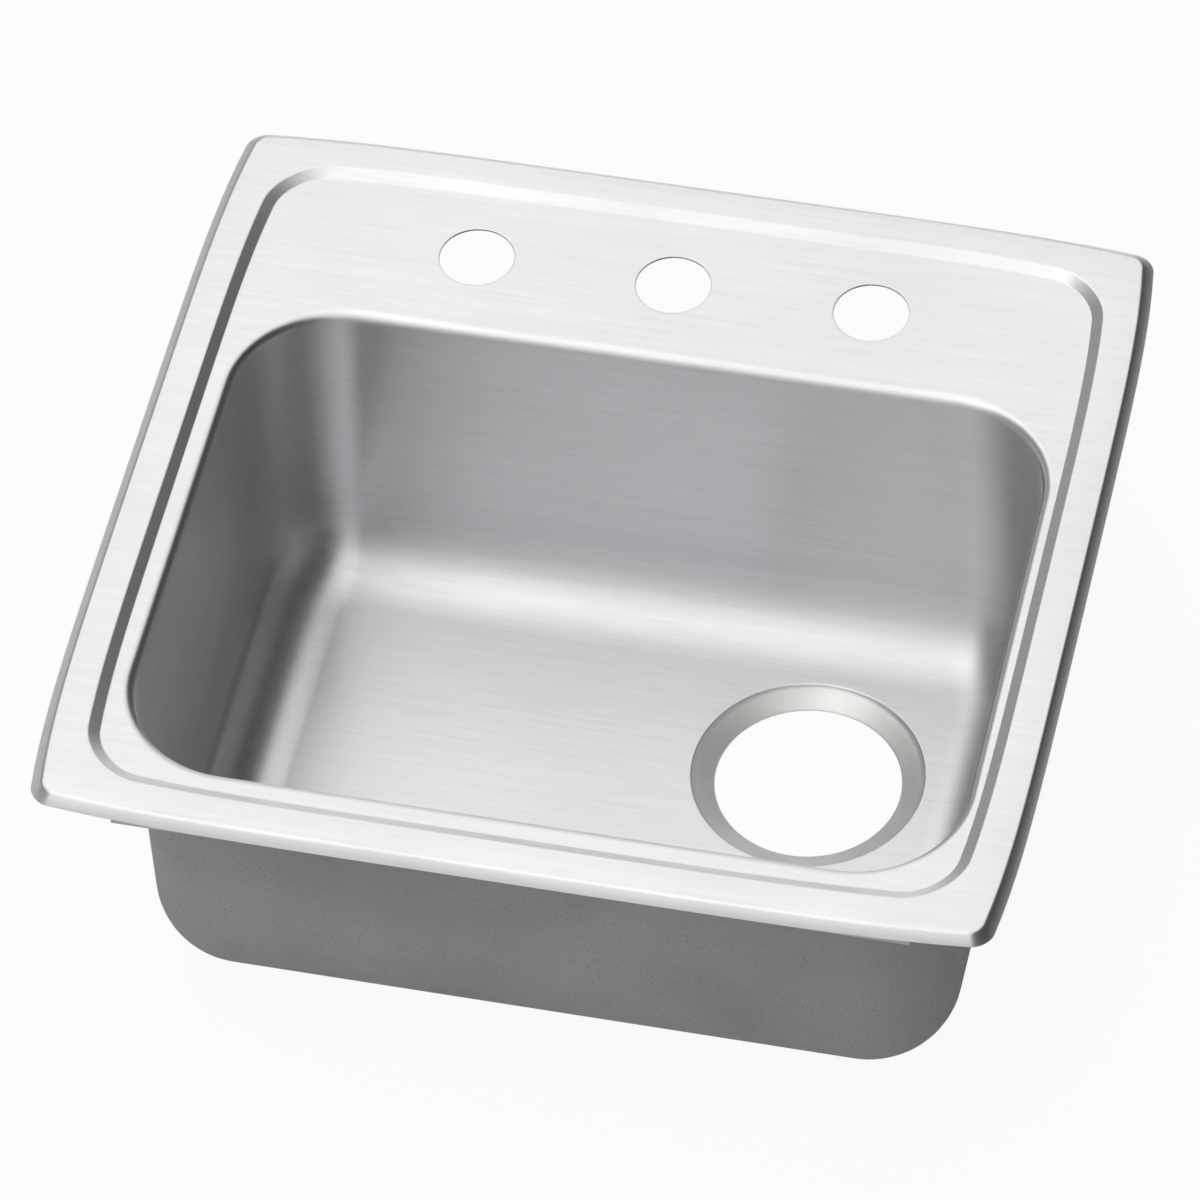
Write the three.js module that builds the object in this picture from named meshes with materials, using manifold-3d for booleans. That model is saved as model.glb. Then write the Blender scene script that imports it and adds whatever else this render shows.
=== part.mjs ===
// Single-bowl drop-in kitchen sink, drawn from one stainless sheet, with the mounting rails
// under its rim and the clips that pull the rim down on to a counter.
// Millimetres. +X right, +Y towards the tap ledge, +Z up; z = 0 is the underside of the drain seat.
import * as THREE from 'three';
import { mergeVertices } from 'three/addons/utils/BufferGeometryUtils.js';
import Module from 'manifold-3d';

const wasm = await Module();
wasm.setup();

// Rim: a raised flat strip with a bevelled outer edge and a slope down to the deck.
const OVERALL_WIDTH = 482.6;
const OVERALL_DEPTH = 457.2;
const SIDE_CROWN = 7;              // how far the left and right edges swell past their corners
const END_CROWN = 5.4;             // the same for the front and back edges
const CROWN_POWER = 5.2;           // higher keeps the middle straighter
const SHEET = 1.2;                 // 18 gauge stainless
const LIP_DROP = 1.4;              // lip below the deck
const RIM_RISE = 3;                // strip above the deck
const BEVEL_WIDTH = 4.8;
const BREAK_RUN = 1.375;           // rounded break between the bevel and the strip
const BREAK_DROP = 0.8;
const STEP_WIDTH = 5.5;
const STEP_EASE = 1;               // run of the bends at the head and the foot of the step
const STEP_EASE_DROP = 0.3;
const LIP_CORNER_RADIUS = 9;
const STRIP_CORNER_RADIUS = 6;
const STEP_CORNER_RADIUS = 27;
const STEP_FOOT_RADIUS = 22;

// Bowl.
const BOWL_WIDTH = 410.2;          // wall to wall at the top
const BOWL_LENGTH = 298.4;         // front wall to back wall at the top
const BOWL_FROM_FRONT = 39.4;      // front edge of the sink to the bowl's front wall
const BOWL_OFFSET_X = 2.1;         // the bowl's middle, right of the sink's
const BOWL_DEPTH = 177.8;          // deck to floor
const BOWL_EDGE_RADIUS = 5.5;
const BOWL_CORNER_RADIUS = 54;     // at the top of the walls
const COVE_RADIUS = 38.1;          // between walls and floor
const FLOOR_CORNER_RADIUS = COVE_RADIUS + 5.9; // at the foot of the walls
const WALL_DRAFT = 0.03;           // taper, mm per mm of depth

// Drain seat and tap holes.
const DRAIN_HOLE_RADIUS = 47.5;
const DRAIN_CONE_RUN = 11;         // from the hole out to the recess's edge
const SIDE_LAND = 6.4;             // flat floor between the recess and the right cove
const BACK_LAND = 4.6;             // the same, at the back cove
const RECESS_DEPTH = 7;
const RECESS_EDGE_RADIUS = 1.5;
const TAP_HOLE_RADIUS = 19.05;
const TAP_HOLE_PITCH = 101.6;
const TAP_HOLE_FROM_BACK = 68.6;

// Undercoat, sprayed on the outside of the bowl.
const UNDERCOAT = 0.8;
const UNDERCOAT_TOP = 8;           // starts this far below the deck
const DRAIN_MASK = 6;              // bare ring round the recess

// Counter cut-out and the C rails welded under the rim strip.
const CUTOUT_MARGIN = 7.94;        // overall size past the cut-out, on each side
const CUTOUT_CORNER_RADIUS = 38.1;
const RAIL_CLEARANCE = 1;          // rail to cut-out edge
const RAIL_WIDTH = 13;
const RAIL_HEIGHT = 15.5;
const RAIL_SHEET = 1.2;
const RAIL_BEND_RADIUS = 2.5;      // beside the weld
const RAIL_FOOT_RADIUS = 1.6;      // beside the slot
const RAIL_TUCK = 0.94;            // how far the rail's bend reaches past the flat of the strip

// Clips: a T bolt in the rail, a toothed claw, a washer and a wing nut. The claws are turned
// inwards, as they are while the sink is lowered through its cut-out.
const SIDE_CLIP_SPREAD = 100;      // clips on the side rails, from the sink's centre
const BACK_CLIP_SPREAD = 160;
const BOLT_RADIUS = 3;
const BOLT_LENGTH = 47;
const BOLT_HEAD_LENGTH = 14;
const BOLT_HEAD_HEIGHT = 3;
const BOLT_HEAD_CHAMFER = 2;
const BOLT_TIP_CHAMFER = 1;
const CLAW_SHEET = 1.8;
const CLAW_WIDTH = 18;
const CLAW_HEEL = 7;               // from the bolt, behind
const CLAW_REACH = 13;             // from the bolt to the face of the toe
const CLAW_HEEL_RISE = 4;
const CLAW_TOE_RISE = 10;
const CLAW_TEETH = 4;
const CLAW_TOOTH_DEPTH = 2.2;
const CLAW_BELOW_RAIL = 24;        // claw underside, from the rail's underside
const WASHER_RADIUS = 6.5;
const WASHER_THICKNESS = 1.2;
const NUT_HEIGHT = 6;
const NUT_WALL = 1.8;              // round the bolt, at the wings' end
const NUT_TAPER = 1.2;             // wider by this at the claw's end
const NUT_WING_SPAN = 28;
const NUT_WING_THICKNESS = 2.2;
const NUT_WING_DROP = 5;           // wings reach this far past the hub
const NUT_WING_EDGE = 0.5;         // wings start this far above the hub's end

const GAP = 0.3;                   // between pieces that touch
const SLIDE_CLEARANCE = 0.5;       // round the bolt, in the rail's slot and in the claw's hole

const CORNER_STEPS = 6;
const SIDE_STEPS = 8;
const COVE_STEPS = 6;
const EDGE_STEPS = 4;
const BEND_STEPS = 3;
const WING_STEPS = 5;
const ROUND_STEPS = 24;
const WIDE_ROUND_STEPS = 56;

const STRIP_WIDTH = CUTOUT_MARGIN + RAIL_CLEARANCE + RAIL_WIDTH - BEVEL_WIDTH - RAIL_TUCK;
const RECESS_RADIUS = DRAIN_HOLE_RADIUS + DRAIN_CONE_RUN;
const DRAIN_FROM_COVE = RECESS_EDGE_RADIUS + RECESS_RADIUS;
const BOWL_OFFSET_Y = BOWL_FROM_FRONT + BOWL_LENGTH / 2 - OVERALL_DEPTH / 2;
const RAIL_SLOT = 2 * (BOLT_RADIUS + SLIDE_CLEARANCE);
const NUT_TOP_RADIUS = BOLT_RADIUS + NUT_WALL;
const NUT_BASE_RADIUS = NUT_TOP_RADIUS + NUT_TAPER;
const DECK_Z = BOWL_DEPTH + RECESS_DEPTH + SHEET;
const FLOOR_Z = DECK_Z - BOWL_DEPTH;
const TAP_HOLE_Y = OVERALL_DEPTH / 2 - TAP_HOLE_FROM_BACK;
const WALL_FOOT_INSET = WALL_DRAFT * (BOWL_DEPTH - BOWL_EDGE_RADIUS - COVE_RADIUS);
const COVE_FOOT_INSET = WALL_FOOT_INSET + COVE_RADIUS;
const DRAIN_X = BOWL_OFFSET_X + BOWL_WIDTH / 2 - COVE_FOOT_INSET - SIDE_LAND - DRAIN_FROM_COVE;
const DRAIN_Y = BOWL_OFFSET_Y + BOWL_LENGTH / 2 - COVE_FOOT_INSET - BACK_LAND - DRAIN_FROM_COVE;

const BRUSHED_STEEL = { color: 0xd2d3d4, roughness: 0.35, metalness: 1 };
const DULL_STEEL = { color: 0xa9aaab, roughness: 0.5, metalness: 1 };
const GREY_UNDERCOAT = { color: 0x7b7d7c, roughness: 0.85, metalness: 0 };
const ZINC_PLATE = { color: 0xb9bec4, roughness: 0.4, metalness: 1 };

// ---- solids ---------------------------------------------------------------------------------

function toManifold(geometry) {
  const bare = geometry.clone();
  for (const name of Object.keys(bare.attributes)) {
    if (name !== 'position') bare.deleteAttribute(name);
  }
  const merged = mergeVertices(bare, 1e-4);
  return new wasm.Manifold(new wasm.Mesh({
    numProp: 3,
    vertProperties: new Float32Array(merged.attributes.position.array),
    triVerts: new Uint32Array(merged.index.array),
  }));
}

function toGeometry(solid) {
  const { vertProperties, triVerts, numProp } = solid.getMesh();
  const positions = new Float32Array((vertProperties.length / numProp) * 3);
  for (let i = 0; i < positions.length / 3; i++) {
    positions.set(vertProperties.subarray(i * numProp, i * numProp + 3), i * 3);
  }
  const geometry = new THREE.BufferGeometry();
  geometry.setAttribute('position', new THREE.BufferAttribute(positions, 3));
  geometry.setIndex(new THREE.BufferAttribute(new Uint32Array(triVerts), 1));
  geometry.computeVertexNormals();
  return geometry;
}

// An upright cylinder as a cutter, from z0 to z1.
function post(radius, x, y, z0, z1, steps) {
  const geometry = new THREE.CylinderGeometry(radius, radius, z1 - z0, steps);
  geometry.rotateX(Math.PI / 2);
  geometry.translate(x, y, (z0 + z1) / 2);
  return toManifold(geometry);
}

// A profile of [radius, height] points turned about an upright axis at x, y.
function turned(profile, x, y, steps) {
  const geometry = new THREE.LatheGeometry(profile.map(([r, z]) => new THREE.Vector2(r, z)), steps);
  geometry.rotateX(Math.PI / 2);
  geometry.translate(x, y, 0);
  return toManifold(geometry);
}

// ---- rings: level outlines that a drawn sheet passes through ----------------------------------

// A rounded rectangle; a crowned one has sides that swell outwards between its corners.
function ringPoints({ halfWidth, halfDepth, radius, x, y, z, crowned }) {
  const cornersAt = [[1, -1, -90], [1, 1, 0], [-1, 1, 90], [-1, -1, 180]];
  const points = [];
  for (const [sx, sy, from] of cornersAt) {
    for (let i = 0; i <= CORNER_STEPS; i++) {
      const angle = THREE.MathUtils.degToRad(from + (90 * i) / CORNER_STEPS);
      points.push([
        sx * (halfWidth - radius) + radius * Math.cos(angle),
        sy * (halfDepth - radius) + radius * Math.sin(angle),
      ]);
    }
  }
  const outline = [];
  const perCorner = CORNER_STEPS + 1;
  for (let corner = 0; corner < 4; corner++) {
    const arc = points.slice(corner * perCorner, (corner + 1) * perCorner);
    const next = points[((corner + 1) * perCorner) % points.length];
    outline.push(...arc);
    const [x0, y0] = arc[CORNER_STEPS];
    for (let i = 1; i < SIDE_STEPS; i++) {
      const share = (1 - Math.cos((Math.PI * i) / SIDE_STEPS)) / 2;
      outline.push([x0 + (next[0] - x0) * share, y0 + (next[1] - y0) * share]);
    }
  }
  return outline.map(([px, py]) => {
    const u = px / halfWidth;
    const v = py / halfDepth;
    const swellX = crowned ? u * SIDE_CROWN * (1 - Math.abs(v) ** CROWN_POWER) : 0;
    const swellY = crowned ? v * END_CROWN * (1 - Math.abs(u) ** CROWN_POWER) : 0;
    return new THREE.Vector3(px + swellX + x, py + swellY + y, z);
  });
}

// Moves every ring along the section's normal, towards the side below and outside the sheet.
function offsetRings(rings, distance) {
  const directions = rings.slice(1).map((ring, i) =>
    new THREE.Vector2(ring.run - rings[i].run, ring.z - rings[i].z).normalize());
  return rings.map((ring, i) => {
    const before = directions[Math.max(i - 1, 0)];
    const after = directions[Math.min(i, directions.length - 1)];
    const normalBefore = new THREE.Vector2(-before.y, before.x);
    const normal = normalBefore.clone().add(new THREE.Vector2(-after.y, after.x)).normalize();
    const reach = distance / normal.dot(normalBefore);
    const inward = -normal.x * reach;
    return {
      ...ring,
      halfWidth: ring.halfWidth - inward,
      halfDepth: ring.halfDepth - inward,
      radius: ring.radius - inward,
      run: ring.run + inward,
      z: ring.z - normal.y * reach,
    };
  });
}

// A sheet of even thickness whose upper face passes through the rings and ends in a flat floor.
function drawnSheet(rings, thickness) {
  const faces = [rings, offsetRings(rings, thickness)].map((list) => list.map(ringPoints));
  const around = faces[0][0].length;
  const positions = [];
  const indices = [];
  const starts = faces.map((loops) => loops.map((loop) => {
    const start = positions.length / 3;
    loop.forEach((point) => positions.push(point.x, point.y, point.z));
    return start;
  }));
  const strip = (a, b) => {
    for (let i = 0; i < around; i++) {
      const j = (i + 1) % around;
      indices.push(a + i, a + j, b + j, a + i, b + j, b + i);
    }
  };
  const floor = (start, ring, upwards) => {
    const centre = positions.length / 3;
    positions.push(ring.x, ring.y, positions[start * 3 + 2]);
    for (let i = 0; i < around; i++) {
      const j = (i + 1) % around;
      indices.push(start + (upwards ? i : j), start + (upwards ? j : i), centre);
    }
  };
  const [upper, lower] = starts;
  for (let k = 0; k + 1 < rings.length; k++) {
    strip(upper[k], upper[k + 1]);
    strip(lower[k + 1], lower[k]);
  }
  strip(lower[0], upper[0]);
  const last = rings.length - 1;
  floor(upper[last], rings[last], true);
  floor(lower[last], rings[last], false);
  const geometry = new THREE.BufferGeometry();
  geometry.setAttribute('position', new THREE.BufferAttribute(new Float32Array(positions), 3));
  geometry.setIndex(indices);
  return toManifold(geometry);
}

// ---- pan ------------------------------------------------------------------------------------

function rimRings() {
  const stepStart = BEVEL_WIDTH + STRIP_WIDTH;
  const ring = (inset, z, radius) => ({
    halfWidth: OVERALL_WIDTH / 2 - SIDE_CROWN - inset,
    halfDepth: OVERALL_DEPTH / 2 - END_CROWN - inset,
    radius, x: 0, y: 0, z: DECK_Z + z, crowned: true, run: inset,
  });
  return [
    ring(0, -LIP_DROP, LIP_CORNER_RADIUS),
    ring(BEVEL_WIDTH - BREAK_RUN, RIM_RISE - BREAK_DROP, STRIP_CORNER_RADIUS),
    ring(BEVEL_WIDTH, RIM_RISE, STRIP_CORNER_RADIUS),
    ring(stepStart - STEP_EASE, RIM_RISE, STEP_CORNER_RADIUS + STEP_EASE),
    ring(stepStart + STEP_EASE / 2, RIM_RISE - STEP_EASE_DROP, STEP_CORNER_RADIUS),
    ring(stepStart + STEP_WIDTH - STEP_EASE, STEP_EASE_DROP, STEP_FOOT_RADIUS + STEP_EASE),
    ring(stepStart + STEP_WIDTH, 0, STEP_FOOT_RADIUS),
  ];
}

function bowlRings() {
  const wallFoot = DECK_Z - BOWL_DEPTH + COVE_RADIUS;
  const ring = (inset, z, radius) => ({
    halfWidth: BOWL_WIDTH / 2 - inset,
    halfDepth: BOWL_LENGTH / 2 - inset,
    radius, x: BOWL_OFFSET_X, y: BOWL_OFFSET_Y, z, crowned: false, run: OVERALL_WIDTH + inset,
  });
  const rings = [];
  for (let i = 0; i <= EDGE_STEPS; i++) {
    const angle = (Math.PI / 2) * (i / EDGE_STEPS);
    const out = BOWL_EDGE_RADIUS * (1 - Math.sin(angle));
    const height = DECK_Z - BOWL_EDGE_RADIUS * (1 - Math.cos(angle));
    rings.push(ring(-out, height, BOWL_CORNER_RADIUS + out));
  }
  rings.push(ring(WALL_FOOT_INSET, wallFoot, FLOOR_CORNER_RADIUS));
  for (let i = 1; i <= COVE_STEPS; i++) {
    const angle = (Math.PI / 2) * (i / COVE_STEPS);
    const inward = COVE_RADIUS * (1 - Math.cos(angle));
    const height = wallFoot - COVE_RADIUS * Math.sin(angle);
    rings.push(ring(WALL_FOOT_INSET + inward, height, FLOOR_CORNER_RADIUS - inward));
  }
  return rings;
}

function sinkPan() {
  const coneRun = RECESS_RADIUS - DRAIN_HOLE_RADIUS;
  const seatTop = FLOOR_Z - RECESS_DEPTH;
  const sheetRun = (SHEET * Math.hypot(coneRun, RECESS_DEPTH)) / RECESS_DEPTH;
  const seat = turned([
    [0, seatTop - SHEET],
    [DRAIN_HOLE_RADIUS + sheetRun - (SHEET * coneRun) / RECESS_DEPTH, seatTop - SHEET],
    [RECESS_RADIUS + sheetRun - (SHEET / 2) * (coneRun / RECESS_DEPTH), FLOOR_Z - SHEET / 2],
    [0, FLOOR_Z - SHEET / 2],
  ], DRAIN_X, DRAIN_Y, WIDE_ROUND_STEPS);
  const recess = turned([
    [0, seatTop - 2 * SHEET],
    [DRAIN_HOLE_RADIUS, seatTop - 2 * SHEET],
    [DRAIN_HOLE_RADIUS, seatTop],
    [RECESS_RADIUS - RECESS_EDGE_RADIUS, FLOOR_Z - (RECESS_EDGE_RADIUS * RECESS_DEPTH) / coneRun],
    [RECESS_RADIUS, FLOOR_Z - RECESS_EDGE_RADIUS / 4],
    [RECESS_RADIUS + RECESS_EDGE_RADIUS, FLOOR_Z],
    [RECESS_RADIUS + RECESS_EDGE_RADIUS, FLOOR_Z + SHEET],
    [0, FLOOR_Z + SHEET],
  ], DRAIN_X, DRAIN_Y, WIDE_ROUND_STEPS);
  let solid = drawnSheet([...rimRings(), ...bowlRings()], SHEET).add(seat).subtract(recess);
  for (const side of [-1, 0, 1]) {
    const hole = post(TAP_HOLE_RADIUS, side * TAP_HOLE_PITCH, TAP_HOLE_Y,
      DECK_Z - 3 * SHEET, DECK_Z + SHEET, WIDE_ROUND_STEPS);
    solid = solid.subtract(hole);
  }
  return toGeometry(solid);
}

function undercoat() {
  const below = DECK_Z - UNDERCOAT_TOP;
  const rings = bowlRings();
  const wallTop = rings.findIndex((ring) => ring.z <= DECK_Z - BOWL_EDGE_RADIUS + 1e-6);
  const [top, foot] = [rings[wallTop], rings[wallTop + 1]];
  const share = (top.z - below) / (top.z - foot.z);
  const start = { ...top };
  for (const key of ['halfWidth', 'halfDepth', 'radius', 'run', 'z']) {
    start[key] = top[key] + (foot[key] - top[key]) * share;
  }
  const coat = drawnSheet(offsetRings([start, ...rings.slice(wallTop + 1)], SHEET + GAP), UNDERCOAT);
  const mask = post(RECESS_RADIUS + RECESS_EDGE_RADIUS + DRAIN_MASK, DRAIN_X, DRAIN_Y,
    0, FLOOR_Z + SHEET, WIDE_ROUND_STEPS);
  return toGeometry(coat.subtract(mask));
}

// ---- rails ----------------------------------------------------------------------------------

const RAIL_TOP = DECK_Z + RIM_RISE - SHEET - GAP;
const RAIL_BOTTOM = RAIL_TOP - RAIL_HEIGHT;
const CUTOUT_HALF_WIDTH = OVERALL_WIDTH / 2 - CUTOUT_MARGIN;
const CUTOUT_HALF_DEPTH = OVERALL_DEPTH / 2 - CUTOUT_MARGIN;
const SIDE_RAIL_X = CUTOUT_HALF_WIDTH - RAIL_CLEARANCE - RAIL_WIDTH / 2;
const END_RAIL_Y = CUTOUT_HALF_DEPTH - RAIL_CLEARANCE - RAIL_WIDTH / 2;
const SIDE_RAIL_LENGTH = 2 * (CUTOUT_HALF_DEPTH - CUTOUT_CORNER_RADIUS);
const END_RAIL_LENGTH = 2 * (CUTOUT_HALF_WIDTH - CUTOUT_CORNER_RADIUS);

// A C section, slot down, centred on its length; it runs along Y.
function rail(length) {
  const half = RAIL_WIDTH / 2;
  const section = new THREE.Shape();
  // The section's outer and inner faces, as one path that ends at the slot's other lip.
  const face = (inset, sweep) => {
    const side = half - inset;
    const bend = RAIL_BEND_RADIUS - inset;
    const foot = RAIL_FOOT_RADIUS - inset;
    const top = RAIL_HEIGHT - inset;
    const corners = [
      [side - foot, inset + foot, foot, -90],
      [side - bend, top - bend, bend, 0],
      [bend - side, top - bend, bend, 90],
      [foot - side, inset + foot, foot, 180],
    ];
    for (const [x, y, radius, from] of sweep > 0 ? corners : corners.reverse()) {
      const start = THREE.MathUtils.degToRad(sweep > 0 ? from : from + 90);
      const end = THREE.MathUtils.degToRad(sweep > 0 ? from + 90 : from);
      section.absarc(x, y, radius, start, end, sweep < 0);
    }
  };
  section.moveTo(RAIL_SLOT / 2, 0);
  face(0, 1);
  section.lineTo(-RAIL_SLOT / 2, 0);
  section.lineTo(-RAIL_SLOT / 2, RAIL_SHEET);
  face(RAIL_SHEET, -1);
  section.lineTo(RAIL_SLOT / 2, RAIL_SHEET);
  section.closePath();
  const geometry = new THREE.ExtrudeGeometry(section, {
    depth: length, bevelEnabled: false, curveSegments: BEND_STEPS,
  });
  geometry.rotateX(Math.PI / 2);
  geometry.translate(0, length / 2, 0);
  return toGeometry(toManifold(geometry));
}

// ---- clips: drawn round the bolt's axis, with the claw's toe along +X ---------------------------

function bolt() {
  const headBottom = RAIL_SHEET + GAP;
  const headWidth = RAIL_WIDTH - 2 * RAIL_SHEET - 2 * GAP;
  const outline = new THREE.Shape();
  const [hx, hy, chamfer] = [headWidth / 2, BOLT_HEAD_LENGTH / 2, BOLT_HEAD_CHAMFER];
  outline.moveTo(-hx + chamfer, -hy);
  outline.lineTo(hx - chamfer, -hy);
  outline.lineTo(hx, -hy + chamfer);
  outline.lineTo(hx, hy - chamfer);
  outline.lineTo(hx - chamfer, hy);
  outline.lineTo(-hx + chamfer, hy);
  outline.lineTo(-hx, hy - chamfer);
  outline.lineTo(-hx, -hy + chamfer);
  outline.closePath();
  const head = new THREE.ExtrudeGeometry(outline, { depth: BOLT_HEAD_HEIGHT, bevelEnabled: false });
  head.translate(0, 0, headBottom);
  const tip = headBottom - BOLT_LENGTH;
  const root = headBottom + BOLT_HEAD_HEIGHT / 3;
  const shank = turned([
    [0, tip],
    [BOLT_RADIUS - BOLT_TIP_CHAMFER, tip],
    [BOLT_RADIUS, tip + BOLT_TIP_CHAMFER],
    [BOLT_RADIUS, root],
    [0, root],
  ], 0, 0, ROUND_STEPS);
  return toGeometry(toManifold(head).add(shank));
}

function claw() {
  const side = new THREE.Shape();
  side.moveTo(-CLAW_HEEL, 0);
  side.lineTo(CLAW_REACH, 0);
  side.lineTo(CLAW_REACH, CLAW_TOE_RISE);
  side.lineTo(CLAW_REACH - CLAW_SHEET, CLAW_TOE_RISE);
  side.lineTo(CLAW_REACH - CLAW_SHEET, CLAW_SHEET);
  side.lineTo(-CLAW_HEEL + CLAW_SHEET, CLAW_SHEET);
  side.lineTo(-CLAW_HEEL + CLAW_SHEET, CLAW_HEEL_RISE);
  side.lineTo(-CLAW_HEEL, CLAW_HEEL_RISE);
  side.closePath();
  const plate = new THREE.ExtrudeGeometry(side, { depth: CLAW_WIDTH, bevelEnabled: false });
  plate.rotateX(Math.PI / 2);
  plate.translate(0, CLAW_WIDTH / 2, 0);
  const hole = post(BOLT_RADIUS + SLIDE_CLEARANCE, 0, 0, -CLAW_SHEET, 2 * CLAW_SHEET, ROUND_STEPS);
  let solid = toManifold(plate).subtract(hole);
  const toothPitch = CLAW_WIDTH / CLAW_TEETH;
  for (let i = 1; i < CLAW_TEETH; i++) {
    const notch = new THREE.Shape();
    notch.moveTo(-toothPitch / 2, CLAW_TOOTH_DEPTH);
    notch.lineTo(0, -CLAW_TOOTH_DEPTH);
    notch.lineTo(toothPitch / 2, CLAW_TOOTH_DEPTH);
    notch.closePath();
    const cutter = new THREE.ExtrudeGeometry(notch, { depth: 3 * CLAW_SHEET, bevelEnabled: false });
    cutter.rotateX(Math.PI / 2);
    cutter.rotateZ(Math.PI / 2);
    cutter.translate(CLAW_REACH - 2 * CLAW_SHEET, i * toothPitch - CLAW_WIDTH / 2, CLAW_TOE_RISE);
    solid = solid.subtract(toManifold(cutter));
  }
  return toGeometry(solid);
}

function washer() {
  const disc = post(WASHER_RADIUS, 0, 0, -WASHER_THICKNESS, 0, ROUND_STEPS);
  const hole = post(BOLT_RADIUS + SLIDE_CLEARANCE, 0, 0, -2 * WASHER_THICKNESS, WASHER_THICKNESS,
    ROUND_STEPS);
  return toGeometry(disc.subtract(hole));
}

function nut() {
  const hub = turned([
    [0, -NUT_HEIGHT],
    [NUT_TOP_RADIUS, -NUT_HEIGHT],
    [NUT_BASE_RADIUS, 0],
    [0, 0],
  ], 0, 0, ROUND_STEPS);
  const wings = new THREE.Shape();
  const half = NUT_WING_SPAN / 2;
  const [waist, shoulder, tip] = [0.45 * half, 0.7 * half, 0.75 * half];
  const hubEnd = -NUT_HEIGHT + NUT_WING_EDGE;
  const wingEnd = -NUT_HEIGHT - NUT_WING_DROP;
  const underWing = -NUT_HEIGHT - 2 * NUT_WING_EDGE;
  wings.moveTo(-NUT_TOP_RADIUS, -NUT_HEIGHT / 3);
  wings.lineTo(NUT_TOP_RADIUS, -NUT_HEIGHT / 3);
  wings.quadraticCurveTo(shoulder, -NUT_HEIGHT / 2, half, -NUT_HEIGHT);
  wings.quadraticCurveTo(half, wingEnd, tip, wingEnd);
  wings.quadraticCurveTo(waist, underWing, NUT_TOP_RADIUS, hubEnd);
  wings.lineTo(-NUT_TOP_RADIUS, hubEnd);
  wings.quadraticCurveTo(-waist, underWing, -tip, wingEnd);
  wings.quadraticCurveTo(-half, wingEnd, -half, -NUT_HEIGHT);
  wings.quadraticCurveTo(-shoulder, -NUT_HEIGHT / 2, -NUT_TOP_RADIUS, -NUT_HEIGHT / 3);
  const blade = new THREE.ExtrudeGeometry(wings, {
    depth: NUT_WING_THICKNESS, bevelEnabled: false, curveSegments: WING_STEPS,
  });
  blade.rotateX(Math.PI / 2);
  blade.translate(0, NUT_WING_THICKNESS / 2, 0);
  blade.rotateZ(Math.PI / 2);
  const bore = post(BOLT_RADIUS + GAP, 0, 0, -2 * NUT_HEIGHT, NUT_HEIGHT, ROUND_STEPS);
  return toGeometry(hub.add(toManifold(blade)).subtract(bore));
}

// ---- assembly -------------------------------------------------------------------------------

const sink = new THREE.Group();

function place(name, geometry, finish, x, y, z, turn) {
  const mesh = new THREE.Mesh(geometry, new THREE.MeshStandardMaterial(finish));
  mesh.name = name;
  mesh.position.set(x, y, z);
  mesh.rotation.z = turn;
  sink.add(mesh);
}

place('sink_pan', sinkPan(), BRUSHED_STEEL, 0, 0, 0, 0);
place('undercoat', undercoat(), GREY_UNDERCOAT, 0, 0, 0, 0);
place('rail_left', rail(SIDE_RAIL_LENGTH), DULL_STEEL, -SIDE_RAIL_X, 0, RAIL_BOTTOM, 0);
place('rail_right', rail(SIDE_RAIL_LENGTH), DULL_STEEL, SIDE_RAIL_X, 0, RAIL_BOTTOM, 0);
place('rail_front', rail(END_RAIL_LENGTH), DULL_STEEL, 0, -END_RAIL_Y, RAIL_BOTTOM, Math.PI / 2);
place('rail_back', rail(END_RAIL_LENGTH), DULL_STEEL, 0, END_RAIL_Y, RAIL_BOTTOM, Math.PI / 2);

// Each clip: where it stands and which way is inwards.
const CLIPS = [
  ['left_front', -SIDE_RAIL_X, -SIDE_CLIP_SPREAD, 0],
  ['left_back', -SIDE_RAIL_X, SIDE_CLIP_SPREAD, 0],
  ['right_front', SIDE_RAIL_X, -SIDE_CLIP_SPREAD, Math.PI],
  ['right_back', SIDE_RAIL_X, SIDE_CLIP_SPREAD, Math.PI],
  ['back_left', -BACK_CLIP_SPREAD, END_RAIL_Y, -Math.PI / 2],
  ['back_right', BACK_CLIP_SPREAD, END_RAIL_Y, -Math.PI / 2],
];
for (const [where, x, y, inwards] of CLIPS) {
  const clawBottom = RAIL_BOTTOM - CLAW_BELOW_RAIL;
  const washerTop = clawBottom - GAP;
  const nutTop = washerTop - WASHER_THICKNESS - GAP;
  place(`t_bolt_${where}`, bolt(), ZINC_PLATE, x, y, RAIL_BOTTOM, inwards);
  place(`claw_${where}`, claw(), ZINC_PLATE, x, y, clawBottom, inwards);
  place(`washer_${where}`, washer(), ZINC_PLATE, x, y, washerTop, inwards);
  place(`wing_nut_${where}`, nut(), ZINC_PLATE, x, y, nutTop, inwards);
}

export default sink;
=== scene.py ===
import math

import bmesh
import bpy
from mathutils import Matrix, Quaternion, Vector


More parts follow.
